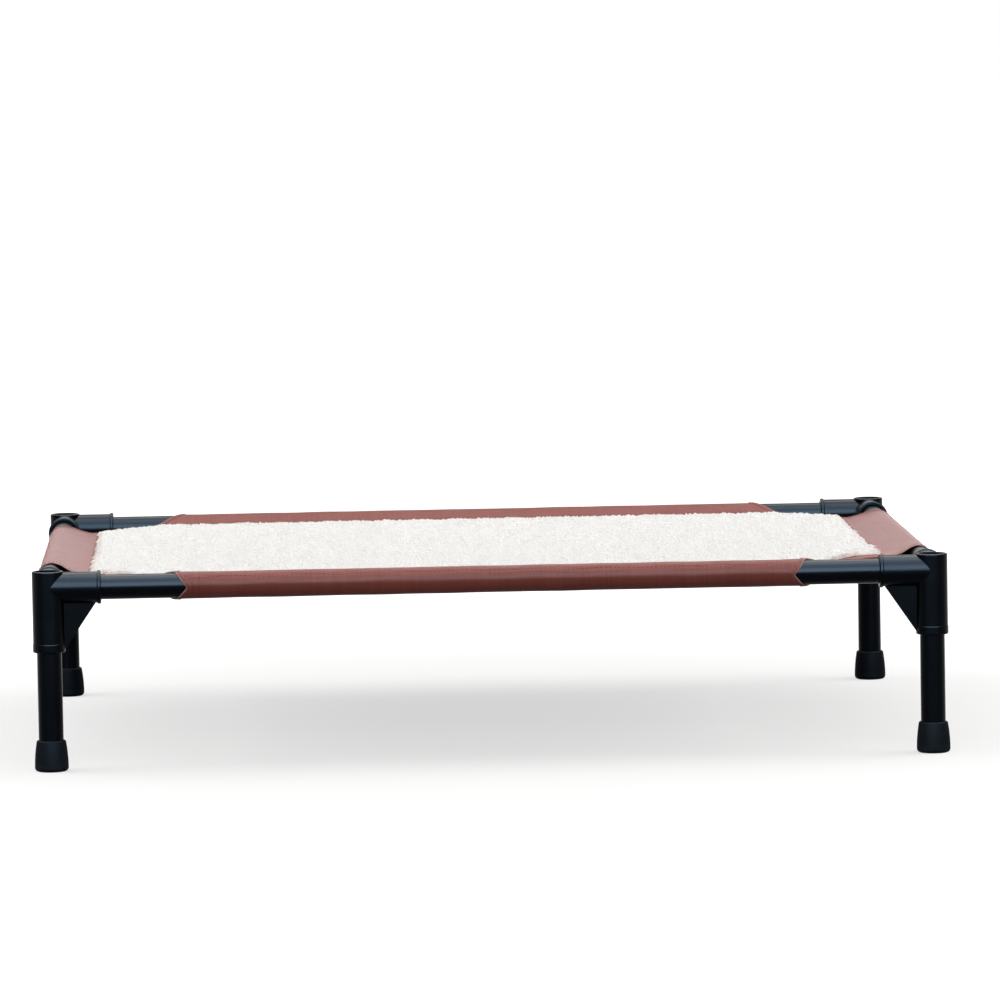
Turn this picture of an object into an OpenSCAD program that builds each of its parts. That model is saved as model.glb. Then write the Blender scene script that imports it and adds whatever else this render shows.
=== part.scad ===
// Raised dog cot: a knock-down frame of round tubes in moulded corner connectors,
// on four push-in legs with rubber feet, and a cloth bed held by four sewn pockets.
// Millimetres. The origin is on the floor under the middle of the bed,
// +X runs along the long rails, +Y towards the rear rail and +Z up.

/* [Overall] */
// Length over the corner sleeves
cot_length = 813; // [620:1:1100]
// Width over the corner sleeves
cot_width = 635; // [430:1:800]
// Height from the floor to the top of the corners
cot_height = 178; // [150:1:260]

/* [Tubes] */
// Outside diameter of the rails and legs
tube_od = 22; // [18:0.5:26]
// Wall of the steel tube
tube_wall = 1.2; // [0.8:0.1:2]
// Radial clearance of a tube in its socket
tube_fit = 0.2; // [0.1:0.05:0.4]
// Gap left between the end of a tube and its stop
end_gap = 0.3; // [0.1:0.1:1]

/* [Corner connectors] */
// Wall of the upright sleeve
sleeve_wall = 2.9; // [2:0.1:4]
// Height of the upright sleeve
sleeve_height = 72; // [62:1:90]
// Wall of the two rail sockets
socket_wall = 2.7; // [2:0.1:4]
// Distance from the sleeve's axis to a socket's mouth
socket_reach = 47; // [42:1:60]
// How far the bead at a mouth stands proud of its socket
collar_rise = 1; // [0.4:0.1:1.5]
// Width of the bead at a mouth
collar_width = 3.5; // [2:0.5:6]
// Thickness of the plastic between the sleeve's axis and a rail's end
rail_stop = 14; // [13.5:0.5:18]
// Thickness of the web that stops a leg below the rails
leg_stop = 3; // [2:0.5:5]
// Thickness of a gusset
gusset_thickness = 4; // [2:0.5:6]
// Distance from a gusset's tip to the bead of its socket
gusset_setback = 1.5; // [0.5:0.5:6]
// Height of a gusset's lower end over the sleeve's mouth
gusset_lift = 2.5; // [2:0.5:12]
// Height of the raised band round the sleeve's mouth
mouth_height = 8; // [4:0.5:14]
// How far that band stands proud of the sleeve
mouth_rise = 0.3; // [0.1:0.1:1]
// Width of the rim round the dish in the top of a corner
dish_rim = 2.6; // [2:0.1:6]
// Depth of the dish in the top of a corner
dish_depth = 3.5; // [1:0.5:5]
// Radius of the moulded edges
moulded_edge = 1.2; // [0.4:0.1:1.8]

/* [Feet] */
// Height of a rubber foot
foot_height = 27.5; // [22:0.5:40]
// Wall of a foot at its mouth
foot_wall = 1.9; // [1.5:0.1:4]
// How far the sole spreads past the mouth all round
foot_flare = 2; // [0.5:0.5:5]
// Rubber under the end of a leg
foot_sole = 6; // [3:0.5:10]
// Radius of the edge round the sole
foot_edge = 3.5; // [1:0.5:5]
// Radius of the edge round the mouth
foot_lip = 0.8; // [0.4:0.1:1.2]
// Radial clearance of a foot on its leg
foot_fit = 0.1; // [0.05:0.05:0.2]

/* [Bed cloth] */
// Thickness of the woven cloth
cloth = 0.6; // [0.5:0.1:1.5]
// Ease of a pocket round its rail
pocket_ease = 0.2; // [0.2:0.1:1]
// Distance from a rail's axis to the inner edge of its pocket
pocket_depth = 37; // [32:1:50]
// Width of the sewn tail of a pocket
seam_width = 9; // [5:1:12]
// Height of the bed's seams over the axes of the rails
seam_lift = 1.5; // [0:0.5:4]
// Distance from a corner's axis to the end of a pocket along the top of its rail
corner_cut = 115; // [95:1:140]
// Depth of the notch in the end of a pocket at its outer fold
notch_depth = 11; // [4:1:18]
// Clearance between layers of cloth
layer_gap = 0.1; // [0.05:0.05:0.3]
// Thickness of the fleece
fleece = 3; // [2:0.5:8]
// Gap round the edge of the fleece
fleece_gap = 0.3; // [0.2:0.1:1]
// Width of the tape that binds a cut corner
tape_width = 12; // [8:1:18]
// Sag of the bed at its middle
bed_sag = 8; // [0:1:20]

/* [Hidden] */
$fn = 96;
CORNERS = ["front_left", "front_right", "rear_right", "rear_left"];
SIDES = ["front", "right", "rear", "left"];

// Diameters and radii of the corner connector
bore_d = tube_od + 2 * tube_fit;
sleeve_r = bore_d / 2 + sleeve_wall;
socket_r = bore_d / 2 + socket_wall;
collar_r = socket_r + collar_rise;
// Heights and places of the frame
axis_x = cot_length / 2 - sleeve_r;
axis_y = cot_width / 2 - sleeve_r;
rail_z = cot_height - collar_r;
sleeve_bottom = cot_height - sleeve_height;
leg_top = rail_z - bore_d / 2 - leg_stop;
gusset_bottom = sleeve_bottom + gusset_lift;
gusset_tip = socket_reach - collar_width - gusset_setback;
// Depth of the lead-in at the mouth of a bore, and what a cut runs past a face
lead_in = 0.8;
past = 1;
// Radii and half thicknesses of a pocket
pocket_in = tube_od / 2 + pocket_ease;
pocket_out = pocket_in + cloth;
slot_half = cloth / 2 + layer_gap;
tail_half = slot_half + cloth;
seam_start = pocket_depth - seam_width;
bed_z = rail_z + seam_lift;
// Half sizes of the flat bed inside the pockets
bed_x = axis_x - pocket_depth;
bed_y = axis_y - pocket_depth;
// How many cones the swelling flank of a foot is turned in
flank_steps = 8;
// How many strips the sagging sheets are drawn in
sheet_columns = 16;
sheet_rows = 12;
cut_rows = 2;

BLACK_PLASTIC = "#1b1c20";
BLACK_STEEL = "#15161a";
BLACK_RUBBER = "#22252b";
BROWN_CLOTH = "#7d5350";
WHITE_FLEECE = "#f4f1ea";

// Puts its children, drawn for the front left corner, at corner number k.
module at_corner(k) {
    turned = k % 2 == 1;
    rotate([0, 0, 90 * k])
        translate([turned ? -axis_y : -axis_x, turned ? -axis_x : -axis_y, 0])
            children();
}

// Puts its children, drawn along X for the front, at side number k.
module at_side(k) {
    rotate([0, 0, 90 * k])
        translate([0, k % 2 == 1 ? -axis_x : -axis_y, 0])
            children();
}

// Half the distance between the corner axes at the two ends of side number k
function half_span(k) = k % 2 == 1 ? axis_y : axis_x;

// Half profile of a turned piece from low to high, with its outer edges rounded
module rounded_half_profile(radius, low, high, edge) {
    translate([0, low + edge])
        square([radius, high - low - 2 * edge]);
    translate([0, low])
        square([radius - edge, high - low]);
    for (z = [low + edge, high - edge])
        translate([radius - edge, z])
            circle(r = edge, $fn = 32);
}

// A blind bore along +Z from the mouth at 0 down to -depth, with a lead-in
module blind_bore(depth) {
    translate([0, 0, -depth])
        cylinder(d = bore_d, h = depth + past);
    translate([0, 0, -lead_in])
        cylinder(d1 = bore_d, d2 = bore_d + 2 * lead_in, h = lead_in);
}

// Outside of a rail socket, along +X from the sleeve's axis
module socket_body() {
    bead = collar_width / 3;
    rotate([0, 90, 0])
        rotate_extrude() {
            square([socket_r, socket_reach - bead]);
            rounded_half_profile(collar_r, socket_reach - collar_width, socket_reach, bead);
        }
}

// Upright web under a rail socket, in the plane of its rail
module gusset() {
    rotate([90, 0, 0])
        linear_extrude(gusset_thickness, center = true)
            polygon([
                [0, rail_z],
                [gusset_tip, rail_z],
                [gusset_tip, rail_z - socket_r],
                [sleeve_r, gusset_bottom],
                [0, gusset_bottom],
            ]);
}

// One moulded connector, with its sockets towards +X and +Y
module corner_body() {
    difference() {
        union() {
            rotate_extrude()
                rounded_half_profile(sleeve_r, sleeve_bottom, cot_height, moulded_edge);
            rotate_extrude()
                rounded_half_profile(
                    sleeve_r + mouth_rise, sleeve_bottom, sleeve_bottom + mouth_height, moulded_edge
                );
            for (turn = [0, 90])
                rotate([0, 0, turn]) {
                    translate([0, 0, rail_z])
                        socket_body();
                    gusset();
                }
        }
        translate([0, 0, sleeve_bottom])
            mirror([0, 0, 1])
                blind_bore(leg_top - sleeve_bottom);
        for (turn = [0, 90])
            rotate([0, 0, turn])
                translate([socket_reach, 0, rail_z])
                    rotate([0, 90, 0])
                        blind_bore(socket_reach - rail_stop);
        translate([0, 0, cot_height - dish_depth])
            cylinder(r = sleeve_r - dish_rim, h = dish_depth + past);
    }
}

module corner(k) {
    color(BLACK_PLASTIC)
        at_corner(k)
            corner_body();
}

// A length of tube along +Z from 0
module tube(length) {
    difference() {
        cylinder(d = tube_od, h = length);
        translate([0, 0, -past])
            cylinder(d = tube_od - 2 * tube_wall, h = length + 2 * past);
    }
}

module leg(k) {
    color(BLACK_STEEL)
        at_corner(k)
            translate([0, 0, foot_sole])
                tube(leg_top - end_gap - foot_sole);
}

// Rubber cap that swells to a rounded sole, bored for the leg
module foot(k) {
    bore_r = tube_od / 2 + foot_fit;
    top_r = bore_r + foot_wall;
    base_r = top_r + foot_flare;
    flank = foot_height - foot_edge - foot_lip;
    color(BLACK_RUBBER)
        at_corner(k)
            difference() {
                rotate_extrude() {
                    polygon([
                        [0, 0],
                        [base_r - foot_edge, 0],
                        for (rise = [0 : 1 / flank_steps : 1])
                            [base_r - foot_flare * rise * rise, foot_edge + flank * rise],
                        [top_r - foot_lip, foot_height],
                        [0, foot_height],
                    ]);
                    translate([base_r - foot_edge, foot_edge])
                        circle(r = foot_edge, $fn = 32);
                }
                translate([0, 0, foot_sole])
                    cylinder(r = bore_r, h = foot_height);
            }
}

module rail(k) {
    length = 2 * (half_span(k) - rail_stop - end_gap);
    color(BLACK_STEEL)
        at_side(k)
            translate([-length / 2, 0, rail_z])
                rotate([0, 90, 0])
                    tube(length);
}

// Where a straight flap leaves the round part of a loop: side is 1 above and -1 below,
// and half is the flap's distance from the middle of the seam
function flap_start(radius, half, side) =
    let (
        height = seam_lift + side * half,
        turn = atan2(height, seam_start) + side * acos(radius / norm([seam_start, height]))
    ) radius * [cos(turn), sin(turn)];

// A loop of cloth round a rail, filled: along +X from 0, it closes on its seam
// inward along +Y and runs on as a flat tail
module filled_loop(radius, half, tail, length) {
    rotate([90, 0, 90]) {
        cylinder(r = radius, h = length);
        linear_extrude(length)
            polygon([
                flap_start(radius, half, 1),
                [seam_start, seam_lift + half],
                [tail, seam_lift + half],
                [tail, seam_lift - half],
                [seam_start, seam_lift - half],
                flap_start(radius, half, -1),
            ]);
    }
}

// The loop of a pocket, with a slot in its tail for the base cloth
module pocket_loop(length) {
    difference() {
        filled_loop(pocket_out, tail_half, pocket_depth, length);
        translate([-past, 0, 0])
            filled_loop(pocket_in, slot_half, pocket_depth + past, length + 2 * past);
    }
}

// What is cut from the end of a pocket, along +X from the corner's axis: a notch
// at the outer fold, and a slope along the cut corner of the bed
module pocket_end_cut() {
    reach = pocket_out + past;
    inner = pocket_depth + past;
    rotate([90, 0, 0])
        linear_extrude(reach)
            polygon([
                [0, -reach],
                [corner_cut, -reach],
                [corner_cut, -pocket_out],
                [corner_cut + notch_depth, 0],
                [corner_cut, pocket_out],
                [corner_cut, reach],
                [0, reach],
            ]);
    translate([0, 0, -reach])
        linear_extrude(2 * reach)
            polygon([
                [0, 0],
                [corner_cut, 0],
                [corner_cut - inner, inner],
                [0, inner],
            ]);
}

// Sewn pocket that slides over a rail
module pocket(k) {
    span = half_span(k);
    length = 2 * (span - corner_cut + pocket_depth);
    color(BROWN_CLOTH)
        at_side(k)
            translate([0, 0, rail_z])
                difference() {
                    translate([-length / 2, 0, 0])
                        pocket_loop(length);
                    for (side = [0, 1])
                        mirror([side, 0, 0])
                            translate([-span, 0, 0])
                                pocket_end_cut();
                }
}

// Folded tape round the cut corner of the base cloth, between two pockets
module tape(k) {
    edge = corner_cut / sqrt(2);
    width = tape_width + layer_gap;
    inside = pocket_depth + fleece_gap;
    color(BROWN_CLOTH)
        at_corner(k)
            translate([0, 0, bed_z])
                intersection() {
                    rotate([90, 0, 45])
                        linear_extrude(2 * corner_cut, center = true)
                            translate([edge - layer_gap, 0])
                                difference() {
                                    union() {
                                        circle(r = tail_half, $fn = 32);
                                        translate([0, -tail_half])
                                            square([width, 2 * tail_half]);
                                    }
                                    circle(r = slot_half, $fn = 32);
                                    translate([0, -slot_half])
                                        square([width + past, 2 * slot_half]);
                                }
                    translate([inside, inside, -tail_half - past])
                        cube([corner_cut, corner_cut, 2 * (tail_half + past)]);
                }
}

// Drop of the bed at a point, flat at the pockets and deepest in the middle
function sag_at(x, y) =
    let (
        across = max(0, 1 - pow(x / bed_x, 2)),
        along = max(0, 1 - pow(y / bed_y, 2))
    ) -bed_sag * pow(across * along, 2);

// Rows of a sheet from the front to the rear, closer together along its cut corners
function sheet_row_places(half_y, straight_y) = [
    for (j = [0 : cut_rows - 1]) -half_y + (half_y - straight_y) * j / cut_rows,
    for (j = [0 : sheet_rows]) straight_y * (2 * j / sheet_rows - 1),
    for (j = [1 : cut_rows]) straight_y + (half_y - straight_y) * j / cut_rows,
];

// A sagging sheet with cut corners between two heights over the bed's seams.
// Its corners are cut where the distances to the two rails' axes add up to cut.
module sheet(half_x, half_y, cut, low, high) {
    slope = axis_x + axis_y - cut;
    places = sheet_row_places(half_y, slope - half_x);
    rows = len(places);
    columns = sheet_columns + 1;
    layer = rows * columns;
    points = [
        for (z = [low, high], y = places, i = [0 : sheet_columns])
            let (x = min(half_x, slope - abs(y)) * (2 * i / sheet_columns - 1))
                [x, y, bed_z + z + sag_at(x, y)],
    ];
    function at(j, i, l) = l * layer + j * columns + i;
    faces = [
        for (j = [0 : rows - 2], i = [0 : sheet_columns - 1]) each [
            [at(j, i, 0), at(j, i + 1, 0), at(j + 1, i + 1, 0)],
            [at(j, i, 0), at(j + 1, i + 1, 0), at(j + 1, i, 0)],
            [at(j, i, 1), at(j + 1, i + 1, 1), at(j, i + 1, 1)],
            [at(j, i, 1), at(j + 1, i, 1), at(j + 1, i + 1, 1)],
        ],
        for (i = [0 : sheet_columns - 1]) each [
            [at(0, i, 0), at(0, i, 1), at(0, i + 1, 1)],
            [at(0, i, 0), at(0, i + 1, 1), at(0, i + 1, 0)],
            [at(rows - 1, i, 0), at(rows - 1, i + 1, 1), at(rows - 1, i, 1)],
            [at(rows - 1, i, 0), at(rows - 1, i + 1, 0), at(rows - 1, i + 1, 1)],
        ],
        for (j = [0 : rows - 2]) each [
            [at(j, 0, 0), at(j + 1, 0, 1), at(j, 0, 1)],
            [at(j, 0, 0), at(j + 1, 0, 0), at(j + 1, 0, 1)],
            [at(j, columns - 1, 0), at(j, columns - 1, 1), at(j + 1, columns - 1, 1)],
            [at(j, columns - 1, 0), at(j + 1, columns - 1, 1), at(j + 1, columns - 1, 0)],
        ],
    ];
    polyhedron(points, faces);
}

// Load-bearing woven cloth, with its edges in the slots of the pockets
module base_cloth() {
    tuck = seam_width - layer_gap;
    color(BROWN_CLOTH)
        sheet(bed_x + tuck, bed_y + tuck, corner_cut, -cloth / 2, cloth / 2);
}

// Soft face of the bed, sewn on the base cloth inside the pockets and tapes
module fleece_panel() {
    low = cloth / 2 + layer_gap;
    cut = corner_cut + (tape_width + fleece_gap) * sqrt(2);
    color(WHITE_FLEECE)
        sheet(bed_x - fleece_gap, bed_y - fleece_gap, cut, low, low + fleece);
}

for (k = [0 : 3]) {
    corner(k);
    leg(k);
    foot(k);
    rail(k);
    pocket(k);
    tape(k);
}
base_cloth();
fleece_panel();
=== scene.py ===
import math

import bpy
import numpy as np
from mathutils import Matrix, Vector


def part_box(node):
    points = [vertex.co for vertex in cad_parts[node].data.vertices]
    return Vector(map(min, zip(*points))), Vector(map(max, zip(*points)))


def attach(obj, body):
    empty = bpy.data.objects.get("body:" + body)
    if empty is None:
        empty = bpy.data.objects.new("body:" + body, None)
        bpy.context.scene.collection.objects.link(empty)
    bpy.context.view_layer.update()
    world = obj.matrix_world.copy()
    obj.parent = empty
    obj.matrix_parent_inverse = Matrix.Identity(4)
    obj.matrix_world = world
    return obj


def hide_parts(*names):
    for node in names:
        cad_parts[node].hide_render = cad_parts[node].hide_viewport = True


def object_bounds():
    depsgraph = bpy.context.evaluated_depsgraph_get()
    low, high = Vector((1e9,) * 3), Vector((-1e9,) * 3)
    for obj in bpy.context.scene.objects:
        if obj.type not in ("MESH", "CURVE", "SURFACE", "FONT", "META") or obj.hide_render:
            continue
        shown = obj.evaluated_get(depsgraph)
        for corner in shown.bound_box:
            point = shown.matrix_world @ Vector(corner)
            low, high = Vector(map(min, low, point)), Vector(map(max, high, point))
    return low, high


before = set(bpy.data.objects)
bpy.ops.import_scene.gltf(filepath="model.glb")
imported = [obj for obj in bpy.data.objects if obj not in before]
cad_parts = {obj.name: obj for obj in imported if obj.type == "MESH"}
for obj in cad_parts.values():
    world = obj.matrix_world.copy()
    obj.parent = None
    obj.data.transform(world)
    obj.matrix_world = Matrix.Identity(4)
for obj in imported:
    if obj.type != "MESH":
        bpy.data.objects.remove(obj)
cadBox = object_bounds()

# Raised cot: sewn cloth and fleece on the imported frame, and the studio that shows it
mm = 0.001
scene = bpy.context.scene
scene.view_settings.view_transform = "Standard"
bedBody = "bed_frame"
sideNames = ["front", "right", "rear", "left"]
cornerNames = ["front_left", "front_right", "rear_right", "rear_left"]
cornerWays = [(-1, -1), (1, -1), (1, 1), (-1, 1)]  # signs of x and y at each corner

# One seed for each random pattern; sides, corners and pieces of pile count on from theirs
seeds = dict(lumps=7, swell=8, ragged=9, stray=10, combing=12, locks=21, fringe=23, fringeSpin=24)
seeds.update(lockSpin=30, bandWave=40, lineDrift=50, linePucker=60, seamPucker=70, bedWave=80, tapeWave=90)


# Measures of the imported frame
def measureCot():
    railLow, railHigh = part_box("rail_front")
    sideLow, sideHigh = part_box("rail_right")
    pocketLow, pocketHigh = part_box("pocket_front")
    tapeLow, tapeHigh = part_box("tape_front_left")
    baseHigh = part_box("base_cloth")[1]
    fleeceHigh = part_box("fleece_panel")[1]
    axisX = (sideLow.x + sideHigh.x) / 2
    axisY = -(railLow.y + railHigh.y) / 2
    pocketDepth = pocketHigh.y + axisY
    return dict(
        axisX=axisX,  # of the side rails
        axisY=axisY,  # of the front and rear rails
        railZ=(railLow.z + railHigh.z) / 2,
        bedZ=(tapeLow.z + tapeHigh.z) / 2,  # middle of the seams
        pocketRadius=(pocketHigh.z - pocketLow.z) / 2,
        pocketDepth=pocketDepth,
        cornerCut=axisX - pocketHigh.x + pocketDepth,  # from a corner's axis to a pocket's end
        bedX=axisX - pocketDepth,
        bedY=axisY - pocketDepth,
        baseX=baseHigh.x,
        baseY=baseHigh.y,
        fleeceX=fleeceHigh.x,
        fleeceY=fleeceHigh.y,
        height=cadBox[1].z,
    )


cot = measureCot()
cloth = dict(thickness=0.6 * mm, layerGap=0.1 * mm, sag=8 * mm)
halfCloth = cloth["thickness"] / 2
layerStep = halfCloth + cloth["layerGap"] + halfCloth  # between the middles of two layers


# Sides and corners are numbered from the front, a quarter turn for each: the way out to the
# axis of rail k, and half the length between the corners' axes along it
def axisOf(k):
    return cot["axisX"] if k % 2 else cot["axisY"]


def spanOf(k):
    return cot["axisY"] if k % 2 else cot["axisX"]


# A quarter turn about the upright axis for each step of k
def turned(points, k):
    c, s = [(1, 0), (0, 1), (-1, 0), (0, -1)][k % 4]
    x, y, z = np.moveaxis(points, -1, 0)
    return np.stack([c * x - s * y, s * x + c * y, z], -1)


# Vectors brought to length one
def unit(v):
    return v / np.maximum(np.linalg.norm(v, axis=-1, keepdims=True), 1e-12)


# Smooth step from 0 to 1
def ease(x):
    x = np.clip(x, 0, 1)
    return x * x * (3 - 2 * x)


# Smooth bump: 1 at zero, dying away over a run on either side
def bell(x, run):
    return np.exp(-((x / run) ** 2))


# Quarter circle from 0 at an edge to 1 a run inside it, never below the least share
def roundOff(fromEdge, run, least):
    return np.sqrt(np.clip(1 - (1 - fromEdge / run).clip(0) ** 2, least, 1))


# Plane waves of about one length in random directions, added up to a spread of about one
def ripples(x, y, length, seed, count=24, stretch=1.0):
    dice = np.random.default_rng(seed)
    angle = dice.uniform(0, math.pi, count)
    wave = 2 * math.pi / (length * dice.uniform(0.7, 1.4, count))
    phase = dice.uniform(0, 2 * math.pi, count)
    turnX = wave * np.cos(angle) / stretch
    turnY = wave * np.sin(angle)
    total = np.zeros(np.broadcast(x, y).shape)
    for kx, ky, start in zip(turnX, turnY, phase):
        total += np.cos(kx * x + ky * y + start)
    return total * math.sqrt(2 / count)


# Length along a line of points, from its first point
def lengthAlong(line):
    return np.concatenate([[0], np.cumsum(np.linalg.norm(np.diff(line, axis=0), axis=1))])


# Quads of a grid of points, numbered row by row
def gridFaces(rows, columns, first=0, flip=False):
    i, j = np.meshgrid(np.arange(rows - 1), np.arange(columns - 1), indexing="ij")
    a = first + i * columns + j
    quads = np.stack([a, a + columns, a + columns + 1, a + 1], -1).reshape(-1, 4)
    return quads[:, ::-1] if flip else quads


# A piece of the bed from its points and lists of faces; edges past the crease angle stay sharp
def makePiece(name, points, faces, finish, uv=None, marks=None, crease=40):
    points = np.asarray(points, np.float32).reshape(-1, 3)
    corners = np.concatenate([f.ravel() for f in faces]).astype(np.int32)
    sizes = np.concatenate([np.full(len(f), f.shape[1], np.int32) for f in faces])
    mesh = bpy.data.meshes.new(name)
    mesh.vertices.add(len(points))
    mesh.vertices.foreach_set("co", points.ravel())
    mesh.loops.add(len(corners))
    mesh.loops.foreach_set("vertex_index", corners)
    mesh.polygons.add(len(sizes))
    mesh.polygons.foreach_set("loop_start", np.cumsum(sizes, dtype=np.int32) - sizes)
    mesh.polygons.foreach_set("use_smooth", np.ones(len(sizes), bool))
    if uv is not None:
        layer = mesh.uv_layers.new(name="clothUv")
        layer.data.foreach_set("uv", np.asarray(uv, np.float32).reshape(-1, 2)[corners].ravel())
    for markName, values in (marks or {}).items():
        mark = mesh.attributes.new(markName, "FLOAT", "POINT")
        mark.data.foreach_set("value", np.asarray(values, np.float32).ravel())
    mesh.update(calc_edges=True)
    mesh.validate()
    mesh.set_sharp_from_angle(angle=math.radians(crease))
    mesh.materials.append(finish)
    piece = bpy.data.objects.new(name, mesh)
    scene.collection.objects.link(piece)
    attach(piece, bedBody)
    return piece


# Normals of a grid of points, across its rows and columns
def gridNormals(points):
    return unit(np.cross(np.gradient(points, axis=0), np.gradient(points, axis=1)))


# Two skins either side of a grid of points, joined round the four borders
def thickSheet(middle, outer, inner):
    rows, columns = middle.shape[:2]
    normal = gridNormals(middle)
    front = middle + normal * outer[..., None]
    back = middle - normal * inner[..., None]
    a = np.arange(rows * columns).reshape(rows, columns)
    b = a + rows * columns
    rims = [
        (a[1:, 0], a[:-1, 0], b[:-1, 0], b[1:, 0]),
        (a[:-1, -1], a[1:, -1], b[1:, -1], b[:-1, -1]),
        (a[0, :-1], a[0, 1:], b[0, 1:], b[0, :-1]),
        (a[-1, 1:], a[-1, :-1], b[-1, :-1], b[-1, 1:]),
    ]
    faces = [gridFaces(rows, columns), gridFaces(rows, columns, rows * columns, True)]
    faces += [np.stack(rim, -1) for rim in rims]
    points = np.concatenate([front.reshape(-1, 3), back.reshape(-1, 3)])
    return front, points, faces


# Value of a grid of points between its rows and columns, weighted by nearness in each of them
def sampleGrid(grid, row, column):
    row = np.clip(row, 0, grid.shape[0] - 1.001)
    column = np.clip(column, 0, grid.shape[1] - 1.001)
    i, j = row.astype(int), column.astype(int)
    p, q = (row - i)[..., None], (column - j)[..., None]
    low = grid[i, j] * (1 - q) + grid[i, j + 1] * q
    high = grid[i + 1, j] * (1 - q) + grid[i + 1, j + 1] * q
    return low * (1 - p) + high * p


# Shader maths: a wire is a socket that can be added, multiplied and so on
class Wire:
    def __init__(self, finish, socket):
        self.finish = finish
        self.socket = socket

    def math(self, operation, other=None, flip=False):
        pair = {0: other, 1: self} if flip else {0: self, 1: other}
        inputs = {key: value for key, value in pair.items() if value is not None}
        return self.finish.node("Math", {"operation": operation}, inputs)

    def __add__(self, other):
        return self.math("ADD", other)

    def __sub__(self, other):
        return self.math("SUBTRACT", other)

    def __mul__(self, other):
        return self.math("MULTIPLY", other)

    def __truediv__(self, other):
        return self.math("DIVIDE", other)

    def __rsub__(self, other):
        return self.math("SUBTRACT", other, flip=True)

    def __rtruediv__(self, other):
        return self.math("DIVIDE", other, flip=True)

    __radd__ = __add__
    __rmul__ = __mul__

    def clamp(self):
        return self.math("MAXIMUM", 0.0).math("MINIMUM", 1.0)


class Finish:
    def __init__(self, name, owner=None):
        self.owner = owner or bpy.data.materials.new(name)
        self.owner.use_nodes = True
        self.tree = self.owner.node_tree
        self.tree.nodes.clear()

    # Any node: its settings are set first, then the values or wires of its sockets
    def node(self, kind, settings=None, inputs=None, output=0):
        made = self.tree.nodes.new("ShaderNode" + kind)
        for key, value in (settings or {}).items():
            setattr(made, key, value)
        for key, value in (inputs or {}).items():
            if isinstance(value, Wire):
                self.tree.links.new(value.socket, made.inputs[key])
            else:
                made.inputs[key].default_value = value
        return Wire(self, made.outputs[output])

    def place(self):
        return self.node("TexCoord", output="Object")

    def flatPlace(self):
        return self.node("UVMap", {"uv_map": "clothUv"})

    def mark(self, name):
        return self.node("Attribute", {"attribute_name": name}, None, "Fac")

    def noise(self, place, scale, detail=2.0, roughness=0.5):
        inputs = {"Vector": place, "Scale": scale, "Detail": detail, "Roughness": roughness}
        return self.node("TexNoise", None, inputs)

    # A random value for each number
    def dice(self, number):
        return self.node("TexWhiteNoise", {"noise_dimensions": "1D"}, {"W": number})

    def split(self, vector, part):
        return self.node("SeparateXYZ", None, {0: vector}, part)

    def tint(self, share, low, high):
        settings = {"data_type": "RGBA", "blend_type": "MIX"}
        ends = [end if isinstance(end, Wire) else (*end, 1) for end in (low, high)]
        return self.node("Mix", settings, {0: share, 6: ends[0], 7: ends[1]}, 2)

    def bump(self, height, depth, strength):
        inputs = {"Height": height, "Distance": depth, "Strength": strength}
        return self.node("Bump", None, inputs)

    def surface(self, **inputs):
        named = {key.replace("_", " "): value for key, value in inputs.items()}
        return self.node("BsdfPrincipled", None, named)

    def end(self, shader, kind="OutputMaterial"):
        made = self.tree.nodes.new("ShaderNode" + kind)
        self.tree.links.new(shader.socket, made.inputs["Surface"])
        return self.owner


coolGloss = (0.47, 0.71, 1.0, 1.0)


# What all the dark parts share: a cool gloss over a fine grain
def darkFinish(f, look, colour, rough, grain):
    shader = f.surface(
        Base_Color=colour,
        Roughness=rough,
        Specular_IOR_Level=look["gloss"],
        Specular_Tint=coolGloss,
        Normal=f.bump(grain, look["grainDepth"], look["grainBump"]),
    )
    return f.end(shader)


coat = dict(
    plain=(0.0008, 0.0008, 0.0009),
    hazy=(0.0018, 0.0018, 0.0021),
    hazeScale=30,
    grainScale=850,
    grainDepth=0.06 * mm,
    grainBump=0.35,
    rough=0.15,
    hazeRough=0.1,
    grainRough=0.03,
    gloss=0.036,
)


# Satin powder coat: fine orange peel, with hazier patches
def satinTube():
    f = Finish("satinTube")
    place = f.place()
    peel = f.noise(place, coat["grainScale"])
    haze = f.noise(place, coat["hazeScale"], detail=3)
    rough = coat["rough"] + haze * coat["hazeRough"] + peel * coat["grainRough"]
    return darkFinish(f, coat, f.tint(haze, coat["plain"], coat["hazy"]), rough, peel)


nylon = dict(
    plain=(0.0009, 0.0009, 0.0011),
    scuffed=(0.009, 0.0095, 0.0115),
    edgeRadius=0.7 * mm,
    edgeGain=9,
    patchGain=1.6,
    patchCut=0.25,
    flowScale=45,
    grainScale=2400,
    grainDepth=0.03 * mm,
    grainBump=0.5,
    rough=0.19,
    flowRough=0.1,
    edgeRough=0.15,
    gloss=0.033,
)


# Moulded nylon: a fine spark-eroded grain, scuffed paler in patches along the edges
def mouldedNylon():
    f = Finish("mouldedNylon")
    place = f.place()
    grain = f.noise(place, nylon["grainScale"], detail=3, roughness=0.6)
    flow = f.noise(place, nylon["flowScale"], detail=3)
    flat = f.node("NewGeometry", output="Normal")
    rounded = f.node("Bevel", {"samples": 6}, {"Radius": nylon["edgeRadius"]})
    facing = f.node("VectorMath", {"operation": "DOT_PRODUCT"}, {0: flat, 1: rounded}, "Value")
    patch = (flow * nylon["patchGain"] - nylon["patchCut"]).clamp()
    edge = ((1 - facing) * nylon["edgeGain"]).clamp() * patch
    rough = nylon["rough"] + flow * nylon["flowRough"] + edge * nylon["edgeRough"]
    return darkFinish(f, nylon, f.tint(edge, nylon["plain"], nylon["scuffed"]), rough, grain)


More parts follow.
